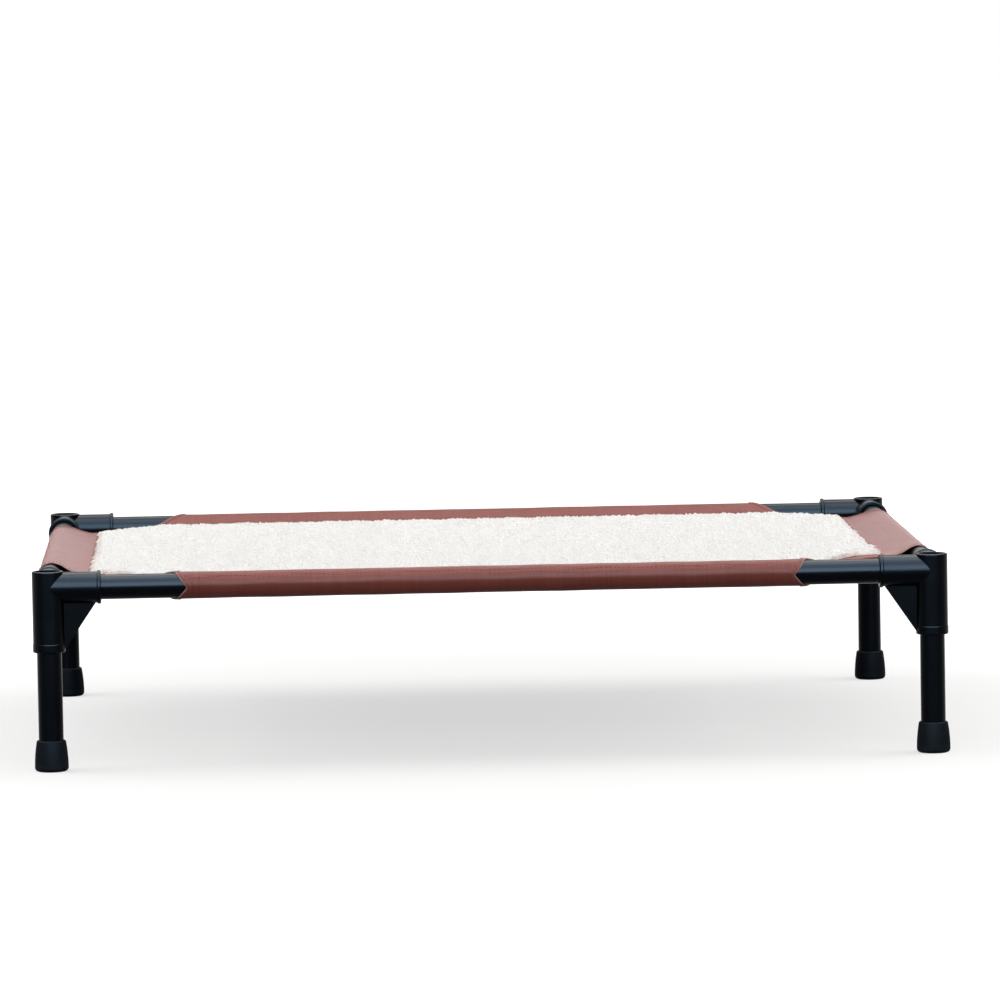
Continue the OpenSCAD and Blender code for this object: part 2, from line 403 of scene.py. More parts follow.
rubber = dict(
    plain=(0.0026, 0.003, 0.004),
    bloomed=(0.0055, 0.0066, 0.009),
    dusty=(0.032, 0.032, 0.033),
    dustHeight=9 * mm,
    dustShare=0.5,
    patchGain=1.8,
    patchCut=0.4,
    bloomScale=70,
    grainScale=1500,
    grainDepth=0.06 * mm,
    grainBump=0.5,
    rough=0.5,
    bloomRough=0.18,
    dustRough=0.1,
    gloss=0.014,
)


# Matt rubber with a bloom, dusty in patches where it meets the floor
def footRubber():
    f = Finish("footRubber")
    place = f.place()
    bloom = f.noise(place, rubber["bloomScale"], detail=4)
    grit = f.noise(place, rubber["grainScale"])
    patch = (bloom * rubber["patchGain"] - rubber["patchCut"]).clamp()
    dust = (1 - f.split(place, "Z") / rubber["dustHeight"]).clamp() * patch
    clean = f.tint(bloom, rubber["plain"], rubber["bloomed"])
    colour = f.tint(dust * rubber["dustShare"], clean, rubber["dusty"])
    rough = rubber["rough"] + bloom * rubber["bloomRough"] + dust * rubber["dustRough"]
    return darkFinish(f, rubber, colour, rough, grit)


weave = dict(
    pitch=0.66 * mm,  # of the yarns
    # dark is painted shade down in the weave's valleys as well as the yarns' own darker tone; light is the
    # yarns' crowns
    dark=(0.140, 0.035, 0.027),
    light=(0.303, 0.089, 0.072),
    cut=(0.5, 0.33, 0.29),  # painted highlight where the pockets' cut edges catch the light
    edgeHighlightShare=0.7,
    crown=0.45,  # how much of a yarn's height falls off towards its ends
    weftOffset=0.37,  # so that weft and warp yarns differ
    fadeScale=22,
    valleyShadeShare=0.6,
    yarnShare=0.16,
    fadeShare=0.45,
    darken=0.12,
    rough=0.27,
    crownRough=0.05,
    gloss=0.0155,
    glossTint=(0.86, 0.92, 0.98, 1.0),
    sheen=0.22,
    sheenRough=0.35,
    sheenTint=(0.92, 0.96, 1.0, 1.0),
    depth=0.13 * mm,
    fadeDepth=0.4,
    bump=0.2,
)


# Plain weave on the cloth's own flat lengths: over one yarn and under the next, its colour painted darker
# where the yarns dive, as shade in the weave's valleys
def wovenCloth():
    f = Finish("wovenCloth")
    flat = f.flatPlace()
    across = f.split(flat, "X") / weave["pitch"]
    along = f.split(flat, "Y") / weave["pitch"]
    warpCell, weftCell = across.math("FLOOR"), along.math("FLOOR")
    warpHill = ((across - warpCell) * math.pi).math("SINE")
    weftHill = ((along - weftCell) * math.pi).math("SINE")
    over = (warpCell + weftCell).math("PINGPONG", 1.0)
    level = 1 - weave["crown"]
    warpHigh = warpHill * (level + weftHill * weave["crown"])
    weftHigh = weftHill * (level + warpHill * weave["crown"])
    height = warpHigh * over + weftHigh * (1 - over)
    yarns = f.dice(warpCell) + f.dice(weftCell + weave["weftOffset"])
    fade = f.noise(f.place(), weave["fadeScale"], detail=4, roughness=0.6)
    # Painted shade: the colour follows the yarns' height, darker where they dive, with each yarn's own
    # tone and fading patches on top
    share = height * weave["valleyShadeShare"] + yarns * weave["yarnShare"] + fade * weave["fadeShare"]
    colour = f.tint((share - weave["darken"]).clamp(), weave["dark"], weave["light"])
    shader = f.surface(
        # Painted highlight: paler along the pockets' cut edges, where they catch the light
        Base_Color=f.tint(f.mark("edgeHighlightMark") * weave["edgeHighlightShare"], colour, weave["cut"]),
        Roughness=weave["rough"] - height * weave["crownRough"],
        Specular_IOR_Level=weave["gloss"],
        Specular_Tint=weave["glossTint"],
        Sheen_Weight=weave["sheen"],
        Sheen_Roughness=weave["sheenRough"],
        Sheen_Tint=weave["sheenTint"],
        Normal=f.bump(height + fade * weave["fadeDepth"], weave["depth"], weave["bump"]),
    )
    return f.end(shader)


yarn = dict(
    dark=(0.07, 0.022, 0.018),
    light=(0.17, 0.056, 0.046),
    plies=2,
    twist=0.55 * mm,  # length of one turn
    rough=0.5,
    plyRough=0.1,
    gloss=0.05,
    depth=0.08 * mm,
    bump=0.6,
)


# Spun sewing thread: plies that twist round each other, painted darker in the grooves between them as
# shade
def sewingThread():
    f = Finish("sewingThread")
    flat = f.flatPlace()
    turns = f.split(flat, "X") * yarn["plies"] + f.split(flat, "Y") / yarn["twist"]
    # ply is the plies' height; the colour follows it, so the grooves take painted shade
    ply = (turns * (2 * math.pi)).math("SINE") * 0.5 + 0.5
    shader = f.surface(
        Base_Color=f.tint(ply, yarn["dark"], yarn["light"]),
        Roughness=yarn["rough"] + ply * yarn["plyRough"],
        Specular_IOR_Level=yarn["gloss"],
        Normal=f.bump(ply, yarn["depth"], yarn["bump"]),
    )
    return f.end(shader)


pile = dict(
    shadedDepths=(0.95, 0.943, 0.928),
    tips=(0.98, 0.977, 0.97),
    depthShadeShare=0.75,
    fibreShare=0.25,
    patchShare=0.3,
    darken=0.15,
    patchScale=16,
    fibreScale=1300,
    fibreDepth=0.15 * mm,
    fibreBump=0.35,
    rough=0.85,
    fibreRough=0.1,
    gloss=0.0,
    sheen=0.9,
    sheenRough=0.6,
)


# Fleece: darker and creamier down in the pile as painted shade, palest at the tips, with fine fibres
def fleecePile():
    f = Finish("fleecePile")
    place = f.place()
    fibre = f.noise(place, pile["fibreScale"], detail=4, roughness=0.65)
    patch = f.noise(place, pile["patchScale"], detail=3)
    # Painted shade: the lower in the pile, the darker and creamier the colour
    share = f.mark("pileDepth") * pile["depthShadeShare"] + fibre * pile["fibreShare"]
    share = (share + patch * pile["patchShare"] - pile["darken"]).clamp()
    shader = f.surface(
        Base_Color=f.tint(share, pile["shadedDepths"], pile["tips"]),
        Roughness=pile["rough"] + fibre * pile["fibreRough"],
        Specular_IOR_Level=pile["gloss"],
        Sheen_Weight=pile["sheen"],
        Sheen_Roughness=pile["sheenRough"],
        Normal=f.bump(fibre, pile["fibreDepth"], pile["fibreBump"]),
    )
    return f.end(shader)


finishes = dict(
    tube=satinTube(),
    corner=mouldedNylon(),
    foot=footRubber(),
    woven=wovenCloth(),
    thread=sewingThread(),
    fleece=fleecePile(),
)
nodeFinish = {"corner": "corner", "leg": "tube", "rail": "tube", "foot": "foot"}
for nodeName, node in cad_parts.items():
    kind = nodeName.split("_")[0]
    if kind in nodeFinish:
        node.data.materials.clear()
        node.data.materials.append(finishes[nodeFinish[kind]])
print("finishes on the frame")


# A woven piece with two skins, which stands for a node; x and y are its flat lengths
def makeCloth(name, node, points, faces, x, y, marks=None):
    uv = np.stack(np.broadcast_arrays(x, y), -1)
    piece = makePiece(name, points, faces, finishes["woven"], np.stack([uv, uv]), marks)
    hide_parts(node)
    return piece


# A strip's flat size is its run by its longest row, where reach is half the length of each row
def declareStrip(reach, run, thread):
    size = (float(run[-1]), float(2 * reach.max()))
    area = float(np.sum((reach[1:] + reach[:-1]) * np.diff(run)))


stitch = dict(
    length=3.1 * mm,
    gap=1.0 * mm,
    radius=0.27 * mm,
    bow=0.1485 * mm,  # how far its middle stands off the cloth
    dive=0.66 * mm,  # how far its ends drop below its middle
    taper=0.75,
    fullness=1.02,
    step=0.5,  # between the points of its line, in cells of the cloth's grid
    rings=5,
    sides=6,
)


# Stitches: each is a short bowed capsule whose ends dive into the cloth, on a line given by
# closely spaced points and the cloth's normals there
def stitchRow(line, normals):
    run = lengthAlong(line)
    pitch = stitch["length"] + stitch["gap"]
    count = max(1, int(run[-1] / pitch))
    first = (run[-1] - count * pitch + stitch["gap"]) / 2
    part = np.linspace(-1, 1, stitch["rings"])
    at = first + stitch["length"] / 2 + pitch * np.arange(count)[:, None] + part * stitch["length"] / 2
    centre = np.stack([np.interp(at, run, line[:, n]) for n in range(3)], -1)
    out = unit(np.stack([np.interp(at, run, normals[:, n]) for n in range(3)], -1))
    forward = unit(np.gradient(centre, axis=1))
    side = unit(np.cross(out, forward))
    rise = stitch["bow"] - stitch["dive"] * np.abs(part) ** 3
    centre = centre + out * rise[None, :, None]
    angle = np.linspace(0, 2 * math.pi, stitch["sides"], endpoint=False)
    girth = stitch["radius"] * np.sqrt(stitch["fullness"] - stitch["taper"] * part**4)
    ring = side[:, :, None] * np.cos(angle)[:, None] + out[:, :, None] * np.sin(angle)[:, None]
    points = centre[:, :, None] + ring * girth[:, None, None]
    uv = np.stack(np.broadcast_arrays(angle / (2 * math.pi), at[..., None]), -1)
    return points.reshape(-1, 3), uv.reshape(-1, 2)


# Quads round each stitch and a cap on each of its ends
def stitchFaces(total):
    rings, sides = stitch["rings"], stitch["sides"]
    each = rings * sides
    i, j = np.meshgrid(np.arange(rings - 1), np.arange(sides), indexing="ij")
    a, b = i * sides + j, i * sides + (j + 1) % sides
    tube = np.stack([a, b, b + sides, a + sides], -1)
    starts = np.arange(total // each)[:, None, None] * each
    caps = np.stack([np.arange(sides)[::-1], np.arange(each - sides, each)])
    return [(starts + tube.reshape(-1, 4)).reshape(-1, 4), (starts + caps).reshape(-1, sides)]


# Stitches on a skin: each line is given by its rows and columns on the skin's grid
def sewLines(name, skin, lines):
    normal = gridNormals(skin)
    made = [stitchRow(sampleGrid(skin, *line), sampleGrid(normal, *line)) for line in lines]
    points, uv = (np.concatenate(part) for part in zip(*made))
    return makePiece(name, points, stitchFaces(len(points)), finishes["thread"], uv)


cornerRise = dict(
    amounts=(1.6 * mm, 6.5 * mm, 1.0 * mm, 0.0),  # in the order of the corners
    fromSide=76 * mm,
    fromEnd=92 * mm,
    run=85 * mm,
)


# Rise of the bed near its cut corners: a round swell by each side pocket's end, of its own height
def riseAt(x, y):
    total = np.zeros(np.shape(x))
    for amount, (wayX, wayY) in zip(cornerRise["amounts"], cornerWays):
        acrossX = cot["axisX"] - wayX * x - cornerRise["fromSide"]
        acrossY = cot["axisY"] - wayY * y - cornerRise["fromEnd"]
        total += amount * ease(1 - np.hypot(acrossX, acrossY) / cornerRise["run"])
    return total


# Shape of the bed: flat at the pockets and deepest in the middle, with its corners' rise
def bedAt(x, y):
    across = np.clip(1 - (x / cot["bedX"]) ** 2, 0, 1)
    along = np.clip(1 - (y / cot["bedY"]) ** 2, 0, 1)
    return cot["bedZ"] - cloth["sag"] * (across * along) ** 2 + riseAt(x, y)


pocket = dict(
    arcPoints=120,
    points=97,  # round the whole loop, at even steps
    # Rows of points beside an open end: width, count and crowding over its edge, then stretches
    # with their ends as shares of the hem's width and their counts
    edgeRows=(1.2 * mm, 5, 1.6),
    hemRows=((0.4762, 0.92, 7), (0.95, 1.1, 5), (1.2, 2.2, 7)),
    rowStep=2.4 * mm,  # of the other rows
    seamWidth=9 * mm,
    overrun=2 * mm,  # past the ends of the plain solid
    notch=8.5 * mm,
    lowerCut=2.5 * mm,  # how much deeper the notch is in its lower arm
    hemWidth=4.2 * mm,
    hemRise=0.45 * mm,
    hemSoft=0.6 * mm,
    hemRow=0.8,  # stitch row of the hem, as a share of its width
    edgeRound=0.9 * mm,
    edgeLeast=0.15,
    edgeHighlightRun=0.8 * mm,  # width of the painted highlight along the open ends' cut edges
    gape=1.2 * mm,  # how far the open ends stand off the rail
    gapeRun=12 * mm,
    flapFrom=8 * mm,  # middle of the loose flaps, inward of the crest and the belly
    flapRun=7 * mm,
    wave=0.08 * mm,
    waveLevel=1.2,
    waveLength=26 * mm,
    waveStretch=2.2,
    calmFrom=6 * mm,  # how far before the seam the waves start to calm down
    calmRun=8 * mm,
    lineAngle=47,  # of the outer stitch line, in degrees from the crest
    lineDrift=0.55 * mm,
    driftLength=60 * mm,
    groove=0.32 * mm,
    grooveRun=0.9 * mm,
    tailRows=(1.6 * mm, 3.6 * mm),  # stitch rows from the inner edge
    tailGroove=0.4,  # share of the groove
    tailGrooveRun=0.7 * mm,
    pucker=0.07 * mm,
    seamPucker=dict(pitch=12 * mm, wander=50 * mm, swing=2.5, run=6 * mm),
    linePucker=dict(pitch=9 * mm, wander=40 * mm, swing=2, run=3 * mm),
    linePuckerShare=0.35,
    freeRows=12,  # rows of points at each end with no line of stitches
    freeColumns=10,
)


# Section of a loop: flat tails on the seam, straight flaps, and a circle round the rail,
# from the lower tail round the outside to the upper tail, at even steps
def loopSection(radius, low, high, seamStart, depth):
    above = math.atan2(high, seamStart) + math.acos(radius / math.hypot(seamStart, high))
    below = math.atan2(low, seamStart) - math.acos(radius / math.hypot(seamStart, low))
    turn = np.linspace(2 * math.pi + below, above, pocket["arcPoints"])
    s = np.concatenate([[depth, seamStart], radius * np.cos(turn), [seamStart, depth]])
    z = np.concatenate([[low, low], radius * np.sin(turn), [high, high]])
    run = lengthAlong(np.stack([s, z], -1))
    even = np.linspace(0, run[-1], pocket["points"])
    return np.interp(even, run, s), np.interp(even, run, z), even


# The loop that all four pockets share: s is the way inward from the rail's axis, z the way up
def measureLoop():
    radius = cot["pocketRadius"] - halfCloth
    seamStart = cot["pocketDepth"] - pocket["seamWidth"]
    seam = cot["bedZ"] - cot["railZ"]
    tails = (seam - layerStep, seam + layerStep)
    s, z, run = loopSection(radius, *tails, seamStart, cot["pocketDepth"])
    crest = run[np.argmax(z)]
    return dict(
        s=s,
        z=z,
        run=run,
        radius=radius,
        seamStart=seamStart,
        crest=crest,
        belly=run[np.argmin(z)],
        line=crest - radius * math.radians(pocket["lineAngle"]),
        fromTail=np.minimum(run, run[-1] - run),
    )


# Distances of the first rows from an open end: closest at the edge and where the hem steps down
def measureRim():
    width, count, crowd = pocket["edgeRows"]
    parts = [width * np.linspace(0, 1, count) ** crowd]
    for low, high, count in pocket["hemRows"]:
        parts.append(pocket["hemWidth"] * np.linspace(low, high, count))
    return np.concatenate(parts)


loop = measureLoop()
rim = measureRim()


# Each value averaged with its two neighbours, a few times over
def soften(values, passes=2):
    for _ in range(passes):
        inside = (values[:-2] + 2 * values[1:-1] + values[2:]) / 4
        values = np.concatenate([values[:1], inside, values[-1:]])
    return values


# Half length of a pocket round its loop: notched at the outer fold, slanted at the tails
def pocketReach(k):
    s, z = loop["s"], loop["z"]
    depth = (1 - np.abs(z) / loop["radius"]).clip(0)
    notch = pocket["notch"] * depth + np.where(z < 0, pocket["lowerCut"] * np.sqrt(depth), 0)
    end = cot["cornerCut"] - pocket["overrun"] + soften(np.where(s < 0, notch, -s))
    return spanOf(k) - end


# Places along the rail and their distance from the open ends: rows close together over the
# hems, then even along the band
def pocketRows(k, reach):
    slant = 1 / np.sqrt(1 + np.gradient(reach, loop["run"]) ** 2)
    left = -reach + rim[:, None] / slant
    count = int(spanOf(k) * 2 / pocket["rowStep"])
    middle = np.linspace(-1, 1, count)[1:-1, None] * -left[-1]
    x = np.concatenate([left, middle, -left[::-1]])
    return x, (reach - np.abs(x)) * slant


# Middle of the cloth: the loop carried along the rail, with open ends that stand off it along
# the flaps, small waves all over, and the corners' rise at the tails
def pocketMiddle(k, x, fromEnd):
    s, z, run = loop["s"], loop["z"], loop["run"]
    grid = np.stack(np.broadcast_arrays(x, s, z), -1)
    grid = grid + np.array([0, -axisOf(k), cot["railZ"]])
    flap = bell(run - loop["crest"] - pocket["flapFrom"], pocket["flapRun"])
    flap += bell(run - loop["belly"] + pocket["flapFrom"], pocket["flapRun"])
    lift = pocket["gape"] * flap * bell(fromEnd, pocket["gapeRun"])
    onTail = ease((s - loop["seamStart"] + pocket["calmFrom"]) / pocket["calmRun"])
    seed = seeds["bandWave"] + k
    wave = ripples(x, run, pocket["waveLength"], seed, stretch=pocket["waveStretch"])
    lift += pocket["wave"] * (pocket["waveLevel"] + wave).clip(0) * (1 - onTail)
    grid = turned(grid + gridNormals(grid) * lift[..., None], k)
    towardsTail = ease((s - loop["radius"]) / (loop["seamStart"] - loop["radius"]))
    grid[..., 2] += riseAt(grid[..., 0], grid[..., 1]) * towardsTail
    return grid


# Puckers of a seam: a cosine along it with a wandering phase, dying away on either side
def puckers(x, fromSeam, gather, seed):
    phase = gather["swing"] * ripples(x, loop["run"], gather["wander"], seed)
    return np.cos(2 * math.pi * x / gather["pitch"] + phase) * bell(fromSeam, gather["run"])


# Height of the outer skin over the middle: the hem's step, stitch grooves, and puckers
def pocketSkin(k, x, fromEnd, drift):
    fromLine = loop["run"] - loop["line"] - drift
    fromSeam = loop["fromTail"] - pocket["seamWidth"]
    hem = ease((pocket["hemWidth"] - fromEnd) / pocket["hemSoft"] + 0.5)
    outer = halfCloth + pocket["hemRise"] * hem
    outer *= roundOff(fromEnd, pocket["edgeRound"], pocket["edgeLeast"])
    outer -= pocket["groove"] * bell(fromLine, pocket["grooveRun"])
    pull = puckers(x, fromLine, pocket["linePucker"], seeds["linePucker"] + k)
    outer += pocket["linePuckerShare"] * pocket["pucker"] * pull
    outer += pocket["pucker"] * puckers(x, fromSeam, pocket["seamPucker"], seeds["seamPucker"] + k)
    for inset in pocket["tailRows"]:
        fromRow = loop["fromTail"] - inset
        outer -= pocket["tailGroove"] * pocket["groove"] * bell(fromRow, pocket["tailGrooveRun"])
    return outer


# Stitching on the outer line, along the tails above and below, and round the hems
def sewPocket(name, skin, drift):
    run = loop["run"]
    rows = np.arange(pocket["freeRows"], len(skin) - pocket["freeRows"], stitch["step"])
    places = [loop["line"] + sampleGrid(drift[..., None], rows, 0 * rows)[:, 0]]
    for inset in pocket["tailRows"]:
        places += [np.full(len(rows), inset), np.full(len(rows), run[-1] - inset)]
    lines = [(rows, np.interp(place, run, np.arange(len(run)))) for place in places]
    hemRow = np.interp(pocket["hemRow"] * pocket["hemWidth"], rim, np.arange(len(rim)))
    columns = np.arange(pocket["freeColumns"], len(run) - pocket["freeColumns"], stitch["step"])
    for row in (hemRow, len(skin) - 1 - hemRow):
        lines.append((np.full(len(columns), row), columns))
    return sewLines(f"stitching_{name}", skin, lines)


# Pockets: a loop of cloth round each rail, sewn to the bed along its two flat tails
def makePocket(k):
    name = sideNames[k]
    reach = pocketReach(k)
    x, fromEnd = pocketRows(k, reach)
    drift = pocket["lineDrift"] * ripples(x, 0, pocket["driftLength"], seeds["lineDrift"] + k, count=8)
    inner = np.full(x.shape, halfCloth)
    outer = pocketSkin(k, x, fromEnd, drift)
    front, points, faces = thickSheet(pocketMiddle(k, x, fromEnd), outer, inner)
    # The open ends' cut edges take a painted highlight in the woven finish
    edge = bell(fromEnd, pocket["edgeHighlightRun"])
    marks = {"edgeHighlightMark": np.stack([edge, edge])}
    piece = makeCloth(f"pocket_cloth_{name}", f"pocket_{name}", points, faces, x, loop["run"], marks)
    declareStrip(reach, loop["run"], sewPocket(name, front, drift))


for k in range(4):
    makePocket(k)
print("pockets sewn")


# On a corner's cut edge, x and y add up to this
def cutSum(cut):
    return cot["axisX"] + cot["axisY"] - cut


# Rows of a bed sheet with cut corners: each row runs from edge to edge
def bedGrid(halfX, halfY, cut, columns, rows):
    y = np.linspace(-halfY, halfY, rows)
    reach = np.minimum(halfX, cutSum(cut) - np.abs(y))
    x = np.linspace(-1, 1, columns)[:, None] * reach
    return x, np.broadcast_to(y, x.shape)


# Length that a corner's cut takes off each edge of a bed sheet
def cornerLeg(halfX, halfY, cut):
    return halfX + halfY - cutSum(cut)


# Area of a bed sheet: a rectangle less its four cut corners
def bedArea(halfX, halfY, cut):
    return 4 * halfX * halfY - 2 * cornerLeg(halfX, halfY, cut) ** 2


base = dict(columns=121, rows=91, wave=0.3 * mm, waveLevel=2, waveLength=70 * mm, waveFrom=30 * mm)


# Woven bed cloth: the sagging sheet between the tails of the pockets, with small waves that go
# only downward, away from the fleece
def makeBase():
    sizes = (cot["baseX"], cot["baseY"], cot["cornerCut"])
    x, y = bedGrid(*sizes, base["columns"], base["rows"])
    fromSeam = np.minimum(cot["bedX"] - np.abs(x), cot["bedY"] - np.abs(y))
    wave = (base["waveLevel"] + ripples(x, y, base["waveLength"], seeds["bedWave"])).clip(0)
    wave *= base["wave"] * ease(fromSeam / base["waveFrom"])
    grid = np.stack([x, y, bedAt(x, y) - wave], -1)
    half = np.full(x.shape, halfCloth)
    points, faces = thickSheet(grid, half, half)[1:]
    piece = makeCloth("bed_cloth", "base_cloth", points, faces, x, y)
    bedArea(*sizes)


makeBase()
print("bed cloth stretched")


tape = dict(
    width=12 * mm,
    gap=0.3 * mm,  # to the pockets beside it
    row=9.6 * mm,  # stitch row from the fold
    groove=0.2 * mm,
    grooveRun=0.7 * mm,
    wave=0.12 * mm,
    waveLength=9 * mm,
    columns=49,
    legPoints=13,
    foldPoints=13,
    freeColumns=1.5,  # columns of points at each end with no stitches
)


# Binding on a cut corner: a tape folded round the edge, in section two flat legs and a half
# circle, from the inner edge above over the fold to the inner edge below
def makeTape(k):
    name = cornerNames[k]
    edge = cot["cornerCut"] / math.sqrt(2)
    turn = np.linspace(math.pi / 2, 3 * math.pi / 2, tape["foldPoints"])
    leg = np.linspace(tape["width"], 0, tape["legPoints"], endpoint=False)
    flat = np.full(tape["legPoints"], layerStep)
    w = np.concatenate([leg, layerStep * np.cos(turn), leg[::-1]])
    z = np.concatenate([flat, layerStep * np.sin(turn), -flat])
    run = lengthAlong(np.stack([w, z], -1))
    reach = edge - (cot["pocketDepth"] + tape["gap"]) * math.sqrt(2) + np.maximum(w, 0)
    p = np.linspace(-1, 1, tape["columns"])[:, None] * reach
    inward = np.array([1, 1, 0]) / math.sqrt(2)
    along = np.array([-1, 1, 0]) / math.sqrt(2)
    corner = np.array([-axisOf(k + 1), -axisOf(k), cot["bedZ"]])
    section = corner + inward * (edge + w)[:, None] + np.array([0, 0, 1]) * z[:, None]
    grid = turned(section + along * p[..., None], k)
    grid[..., 2] += riseAt(grid[..., 0], grid[..., 1])
    outer = halfCloth + tape["wave"] * ripples(p, run, tape["waveLength"], seeds["tapeWave"] + k)
    outer = outer - tape["groove"] * bell(w - tape["row"], tape["grooveRun"])
    front, points, faces = thickSheet(grid, outer, np.full(p.shape, halfCloth))
    piece = makeCloth(f"tape_binding_{name}", f"tape_{name}", points, faces, p, run)
    last = tape["columns"] - 1 - tape["freeColumns"]
    rows = np.arange(tape["freeColumns"], last + stitch["step"], stitch["step"])
    places = (tape["width"] - tape["row"], run[-1] - tape["width"] + tape["row"])
    columns = np.interp(places, run, np.arange(len(run)))
    thread = sewLines(f"stitching_tape_{name}", front, [(rows, np.full(len(rows), c)) for c in columns])
    declareStrip(reach, run, thread)


for k in range(4):
    makeTape(k)
print("corners bound")


fleece = dict(
    thickness=3 * mm,
    edge=3.6 * mm,  # over which the edge rounds off
    edgeLeast=0.02,
    columns=106,
    rows=80,
    fine=3,  # cells of the upper skin for each cell of the lower one
    swell=0.25 * mm,
    swellLength=24 * mm,
    ragged=1.5 * mm,
    raggedLevel=0.55,
    raggedSwing=0.6,
    raggedLength=9 * mm,
    stray=1.9 * mm,
    strayLength=30 * mm,
    raggedRun=9 * mm,  # how far in from the edge it is shoved
)
lump = dict(rise=1.3 * mm, pitch=6.2 * mm, least=0.6, narrow=0.95, table=(97, 89))
fleeceCut = cot["cornerCut"] + (tape["width"] + tape["gap"]) * math.sqrt(2)
fleeceSizes = (cot["fleeceX"], cot["fleeceY"], fleeceCut)


# Lumps of pile: domes on a jittered grid, the tallest at each point
def lumps(x, y):
    countX, countY = lump["table"]
    dice = np.random.default_rng(seeds["lumps"]).random((countX, countY, 3))
    partX, partY = x / lump["pitch"], y / lump["pitch"]
    cellX, cellY = np.floor(partX).astype(int), np.floor(partY).astype(int)
    best = np.zeros(x.shape)
    for i in (-1, 0, 1):
        for j in (-1, 0, 1):
            jitter = dice[(cellX + i) % countX, (cellY + j) % countY]
            fromX = partX - cellX - i - jitter[..., 0]
            fromY = partY - cellY - j - jitter[..., 1]
            tall = lump["least"] + (1 - lump["least"]) * jitter[..., 2]
            best = np.maximum(best, tall * (1 - lump["narrow"] * (fromX**2 + fromY**2)).clip(0))
    return best


# Distance to the nearest edge of the panel, and the way out over that edge
def fleeceEdge(x, y):
    fromSide = cot["fleeceX"] - np.abs(x)
    fromEnd = cot["fleeceY"] - np.abs(y)
    fromCut = (cutSum(fleeceCut) - np.abs(x) - np.abs(y)) / math.sqrt(2)
    gaps = np.stack([fromSide, fromEnd, fromCut])
    ways = np.array([[1, 0], [0, 1], [math.sqrt(0.5), math.sqrt(0.5)]])[gaps.argmin(0)]
    return gaps.min(0), ways * np.stack([np.sign(x), np.sign(y)], -1)


# Underside of the fleece, just over the bed cloth
def fleeceFloor(x, y):
    return halfCloth + cloth["layerGap"] + bedAt(x, y)


# Height of the pile over its underside, and its lumps from 0 to 1
def pileHeight(x, y, fromEdge):
    bumps = lumps(x, y)
    swell = fleece["swell"] * ripples(x, y, fleece["swellLength"], seeds["swell"])
    top = fleece["thickness"] + lump["rise"] * (bumps - 0.5) + swell
    return top * roundOff(fromEdge, fleece["edge"], fleece["edgeLeast"]), bumps


# How far the upper skin is shoved out at its edges, so that they are ragged
def raggedShove(x, y, fromEdge):
    ragged = fleece["raggedSwing"] * ripples(x, y, fleece["raggedLength"], seeds["ragged"])
    stray = ripples(x, y, fleece["strayLength"], seeds["stray"]).clip(0)
    shove = fleece["ragged"] * (fleece["raggedLevel"] + ragged) + fleece["stray"] * stray
    return shove * np.exp(-fromEdge / fleece["raggedRun"])


# A piece of fleece, whose pile depth goes from 0 at its underside to 1 at the tips; the fleece finish
# paints the low places darker as shade
def makePile(name, points, faces, depth):
    marks = {"pileDepth": depth}
    return makePiece(name, points, faces, finishes["fleece"], marks=marks, crease=180)


# Fleece panel: a fine upper skin of lumpy pile and a plain lower skin on the bed cloth, joined
# round the border, where each cell of the lower skin meets several cells of the upper one
def makeFleece():
    columns, rows, fine = fleece["columns"], fleece["rows"], fleece["fine"]
    topColumns, topRows = (columns - 1) * fine + 1, (rows - 1) * fine + 1
    x, y = bedGrid(*fleeceSizes, topColumns, topRows)
    fromEdge, way = fleeceEdge(x, y)
    rise, bumps = pileHeight(x, y, fromEdge)
    shove = raggedShove(x, y, fromEdge)
    top = np.stack([x + way[..., 0] * shove, y + way[..., 1] * shove, fleeceFloor(x, y) + rise], -1)
    x, y = bedGrid(*fleeceSizes, columns, rows)
    bottom = np.stack([x, y, fleeceFloor(x, y)], -1)
    first = topColumns * topRows
    a = np.arange(first).reshape(topColumns, topRows)
    b = first + np.arange(columns * rows).reshape(columns, rows)
    borders = [
        (a[:, 0], b[:, 0], False),
        (a[:, -1], b[:, -1], True),
        (a[0], b[0], True),
        (a[-1], b[-1], False),
    ]
    faces = [gridFaces(topColumns, topRows), gridFaces(columns, rows, first, True)]
    for upper, lower, forward in borders:
        starts = np.arange(len(lower) - 1)
        above = upper[starts[:, None] * fine + np.arange(fine + 1)]
        border = np.concatenate([above, lower[1:, None], lower[:-1, None]], 1)
        faces.append(border if forward else border[:, ::-1])
    points = np.concatenate([top.reshape(-1, 3), bottom.reshape(-1, 3)])
    # The lower lumps and the underside take the painted shade of the pile's depths
    depth = np.concatenate([bumps.ravel(), np.zeros(columns * rows)])
    return makePile("fleece_bed", points, faces, depth)


# A lock's shape is in shares of its length and girth
lock = dict(
    kneeUp=0.32,
    kneeOut=0.16,
    kneeTilt=0.5,
    kneeGirth=0.9,
    tipOut=0.6,
    tipDrop=0.06,
    depths=[0.6] * 4 + [0.9] * 4 + [1.0],  # place in the pile of root, knee and tip, which sets their painted shade
    pitch=3.3 * mm,
    sink=0.9 * mm,
    inset=1 * mm,  # none is rooted nearer to the edge
    length=(2.6 * mm, 4.6 * mm),
    girth=(0.8 * mm, 1.3 * mm),
    combing=2.4,  # how far the headings drift, in radians
    combingLength=22 * mm,
    stray=0.7,
    pieces=3,
)


